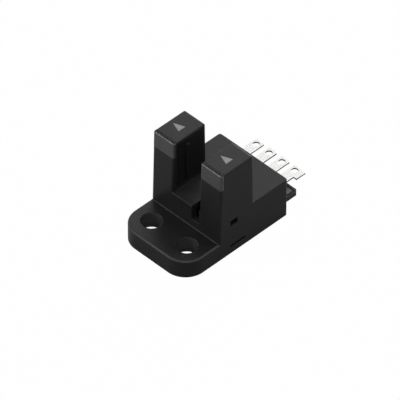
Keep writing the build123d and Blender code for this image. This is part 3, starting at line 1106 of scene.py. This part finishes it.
@dataclass
class BoardAssembly:
    """The circuit board, what stands on it and the light guide above its lamp."""

    leg_reach: float = 0.5 * MILLIMETRE
    leg_root: float = 0.01 * MILLIMETRE
    resistor_end: float = 0.3 * MILLIMETRE
    diode_end: float = 0.3 * MILLIMETRE
    capacitor_end: float = 0.4 * MILLIMETRE
    epoxy_black: Tint = (0.018, 0.018, 0.018)
    resistor_black: Tint = (0.02, 0.02, 0.022)
    diode_black: Tint = (0.025, 0.022, 0.022)
    capacitor_tan: Tint = (0.36, 0.24, 0.13)
    resistor_count: int = 3
    ceramic: PartLook = PartLook(
        darker=0.85,
        lighter=1.12,
        roughness=0.4,
        metal=(0.68, 0.68, 0.67),
        metal_roughness=0.3,
        fade=0.03 * MILLIMETRE,
        fleck_size=0.08 * MILLIMETRE,
        fleck_strength=0.5,
    )
    epoxy: PartLook = PartLook(
        darker=0.7,
        lighter=1.5,
        roughness=0.55,
        metal=(0.6, 0.6, 0.59),
        metal_roughness=0.32,
        fade=0.01 * MILLIMETRE,
        fleck_size=0.06 * MILLIMETRE,
        fleck_strength=0.6,
    )
    board_finish: BoardLaminate = BoardLaminate()
    guide_finish: CastResin = CastResin(
        "light_guide_clear", colour=(0.9, 0.92, 0.93), clearness=0.95, roughness=0.08
    )
    lamp_finish: CastResin = CastResin(
        "lamp_clear", colour=(0.86, 0.84, 0.74), clearness=0.6, roughness=0.2
    )

    def capped(self, node: str, colour: Tint, end: float) -> None:
        """Dresses a chip part with tinned end caps.

        Args:
            node: The CAD node.
            colour: The body's colour.
            end: How long each tinned end is, in metres.
        """
        low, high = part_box(node)
        centre = (low.x + high.x) / 2
        half_body = (high.x - low.x) / 2 - end
        finish = TinnedPart(f"{node}_finish", self.ceramic, colour, Axis.X, centre, half_body)
        dress(node, finish.make())

    def legged(self, node: str) -> None:
        """Dresses a moulded chip with tinned legs past its long sides.

        Args:
            node: The CAD node.
        """
        low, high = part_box(node)
        centre = (low.y + high.y) / 2
        half_body = (high.y - low.y) / 2 - self.leg_reach + self.leg_root
        finish = TinnedPart(f"{node}_finish", self.epoxy, self.epoxy_black, Axis.Y, centre, half_body)
        dress(node, finish.make())

    def build(self) -> None:
        """Dresses the board and everything on it."""
        dress("circuit_board", self.board_finish.make())
        dress("light_guide", self.guide_finish.make())
        dress("indicator_lamp", self.lamp_finish.make())
        for index in range(1, self.resistor_count + 1):
            self.capped(f"resistor_{index}", self.resistor_black, self.resistor_end)
        self.capped("capacitor", self.capacitor_tan, self.capacitor_end)
        self.capped("protection_diode", self.diode_black, self.diode_end)
        self.legged("regulator_chip")
        self.legged("output_transistor")


def direction(azimuth: float, elevation: float) -> Vector:
    """Gives the way from the object to a viewer or lamp.

    Args:
        azimuth: 0 in front of the flange and 90 on the right, in degrees.
        elevation: The height above the horizon, in degrees.

    Returns:
        The direction, of length 1.
    """
    turn, rise = math.radians(azimuth), math.radians(elevation)
    return Vector((math.sin(turn) * math.cos(rise), -math.cos(turn) * math.cos(rise), math.sin(rise)))


@dataclass
class SoftBox:
    """One studio light: a square area lamp that looks at the object."""

    name: str
    azimuth: float
    elevation: float
    size: float
    radiance: float
    distance: float = 0.7

    def build(self, centre: Vector) -> None:
        """Adds the lamp.

        Args:
            centre: The point that it looks at.
        """
        lamp = bpy.data.lights.new(self.name, "AREA")
        lamp.shape = "SQUARE"
        lamp.size = self.size
        lamp.energy = self.radiance * math.pi * self.size ** 2
        holder = bpy.data.objects.new(self.name, lamp)
        bpy.context.scene.collection.objects.link(holder)
        towards = direction(self.azimuth, self.elevation)
        holder.location = centre + towards * self.distance
        holder.rotation_mode = "QUATERNION"
        holder.rotation_quaternion = towards.to_track_quat("Z", "Y")
        holder.visible_camera = False
        log.info("lit %s", self.name)


@dataclass
class PhotoCamera:
    """The camera at the photograph's viewing angle."""

    azimuth: float = 45.24
    elevation: float = 43.38
    focal_pixels: float = 6450
    pixels_per_millimetre: float = 7.18
    picture_side: float = 400
    sensor_width: float = 36
    aim: tuple[float, float, float] = (0, 8.55 * MILLIMETRE, 5 * MILLIMETRE)
    aim_column: float = 212.27
    aim_row: float = 192.23
    clip_factor: float = 100

    def build(self) -> None:
        """Adds the camera and makes it the scene's own."""
        back = direction(self.azimuth, self.elevation)
        right = Vector((math.cos(math.radians(self.azimuth)), math.sin(math.radians(self.azimuth)), 0))
        up = back.cross(right)
        distance = self.focal_pixels / self.pixels_per_millimetre * MILLIMETRE
        middle = (self.picture_side - 1) / 2
        across = (self.aim_column - middle) / self.focal_pixels * distance
        above = (middle - self.aim_row) / self.focal_pixels * distance
        data = bpy.data.cameras.new("photo_camera")
        data.sensor_width = self.sensor_width
        data.lens = self.focal_pixels * self.sensor_width / self.picture_side
        data.clip_start = distance / self.clip_factor
        data.clip_end = distance * self.clip_factor
        camera = bpy.data.objects.new("photo_camera", data)
        bpy.context.scene.collection.objects.link(camera)
        camera.location = Vector(self.aim) + back * distance - right * across - up * above
        camera.rotation_mode = "QUATERNION"
        camera.rotation_quaternion = (-back).to_track_quat("-Z", "Y")
        bpy.context.scene.camera = camera
        log.info("camera placed %.3f m away", distance)


@dataclass
class Studio:
    """The pale floor, the even surroundings and the soft lamps."""

    floor_radius: float = 4.0
    floor_steps: int = 64
    floor_drop: float = 0.01 * MILLIMETRE
    floor_shade: float = 0.42
    floor_mottle: float = 0.02
    mottle_size: float = 0.3
    camera_share: float = 0.99
    # near_share to far_share: the floor's glow in reflections, weaker near the object as painted
    # shade.
    near_share: float = 0.14
    far_share: float = 0.9
    near_reach: float = 32 * MILLIMETRE
    far_reach: float = 60 * MILLIMETRE
    surroundings: float = 0.1
    lamps: list[SoftBox] = field(
        default_factory=lambda: [
            SoftBox("rear_high", azimuth=225, elevation=40, size=0.35, radiance=1.55),
            SoftBox("rear_low", azimuth=200, elevation=20, size=0.35, radiance=9.8),
            SoftBox("rear_side", azimuth=160, elevation=50, size=0.4, radiance=3.2),
            SoftBox("front_high", azimuth=318, elevation=40, size=0.17, radiance=12.0),
            SoftBox("front_low", azimuth=332, elevation=8, size=0.3, radiance=3.6),
            SoftBox("camera_high", azimuth=45, elevation=42, size=0.35, radiance=3.4),
        ]
    )

    def seen(self, tree: bpy.types.NodeTree) -> Socket:
        """Tells rays that show the background from rays that light the object.

        Args:
            tree: The node tree that it is for.

        Returns:
            1 for camera, glossy and transmission rays.
        """
        path = tree.nodes.new("ShaderNodeLightPath")
        total = path.outputs["Is Camera Ray"]
        for kind in ("Is Glossy Ray", "Is Transmission Ray"):
            larger = tree.nodes.new("ShaderNodeMath")
            larger.operation = Join.LARGEST.value
            tree.links.new(total, larger.inputs[0])
            tree.links.new(path.outputs[kind], larger.inputs[1])
            total = larger.outputs["Value"]
        return total

    def build_world(self) -> None:
        """Makes surroundings that are white to look at and light the object at a plain level."""
        world = bpy.data.worlds.new("surroundings")
        world.use_nodes = True
        bpy.context.scene.world = world
        tree = world.node_tree
        background = tree.nodes["Background"]
        background.inputs["Color"].default_value = (1, 1, 1, 1)
        level = tree.nodes.new("ShaderNodeMapRange")
        level.inputs["To Min"].default_value = self.surroundings
        level.inputs["To Max"].default_value = 1
        tree.links.new(self.seen(tree), level.inputs["Value"])
        tree.links.new(level.outputs["Result"], background.inputs["Strength"])

    def floor_material(self) -> bpy.types.Material:
        """Makes the floor's finish: pale, white to the camera, with the object's soft shadow, and a
        glow in reflections that is weaker near the object as painted shade.

        Returns:
            The material.
        """
        sheet = ShaderSheet("studio_floor")
        sheet.tree.nodes.remove(sheet.shader)
        natural = sheet.add("ShaderNodeBsdfDiffuse")
        darker = (self.floor_shade * (1 - self.floor_mottle),) * 3
        lighter = (self.floor_shade * (1 + self.floor_mottle),) * 3
        mottled = sheet.blend(sheet.noise(self.mottle_size, detail=2), darker, lighter)
        sheet.link(mottled, natural.inputs["Color"])
        white = sheet.add("ShaderNodeEmission")
        white.inputs["Strength"].default_value = 1
        path = sheet.add("ShaderNodeLightPath")
        mirrored = sheet.joined(
            Join.LARGEST, path.outputs["Is Glossy Ray"], path.outputs["Is Transmission Ray"]
        )
        # In reflections the floor glows less near the object: painted shade round it.
        away = sheet.length(sheet.place)
        reflected_glow_painted_shade = sheet.spread(away, self.near_share, self.far_share, self.near_reach, self.far_reach)
        reflected = sheet.joined(Join.PRODUCT, mirrored, reflected_glow_painted_shade)
        direct = sheet.between(path.outputs["Is Camera Ray"], 0, self.camera_share)
        mix = sheet.add("ShaderNodeMixShader")
        sheet.link(sheet.joined(Join.SUM, reflected, direct), mix.inputs["Fac"])
        sheet.link(natural.outputs["BSDF"], mix.inputs[1])
        sheet.link(white.outputs["Emission"], mix.inputs[2])
        sheet.link(mix.outputs["Shader"], sheet.output.inputs["Surface"])
        return sheet.material

    def build_floor(self) -> None:
        """Lays the floor under the object."""
        shape = bmesh.new()
        bmesh.ops.create_circle(
            shape, cap_ends=True, segments=self.floor_steps, radius=self.floor_radius
        )
        bmesh.ops.translate(shape, verts=shape.verts, vec=(0, 0, CAD_BOX[0][2] - self.floor_drop))
        mesh = bpy.data.meshes.new("studio_floor")
        shape.to_mesh(mesh)
        shape.free()
        mesh.materials.append(self.floor_material())
        floor = bpy.data.objects.new("studio_floor", mesh)
        bpy.context.scene.collection.objects.link(floor)
        log.info("floor laid")

    def build(self) -> None:
        """Sets up the whole studio."""
        bpy.context.scene.view_settings.view_transform = "Standard"
        centre = (Vector(CAD_BOX[0]) + Vector(CAD_BOX[1])) / 2
        self.build_world()
        self.build_floor()
        for lamp in self.lamps:
            lamp.build(centre)


def main() -> None:
    """Builds the studio, the camera and every sub-assembly in order."""
    logging.basicConfig(level=logging.INFO, format="%(name)s: %(message)s")
    PhotoCamera().build()
    Studio().build()
    Housing().build()
    Windows().build()
    ArrowMarks().build()
    Terminals().build()
    OpticalPair().build()
    BoardAssembly().build()


if __name__ == "__main__":
    main()
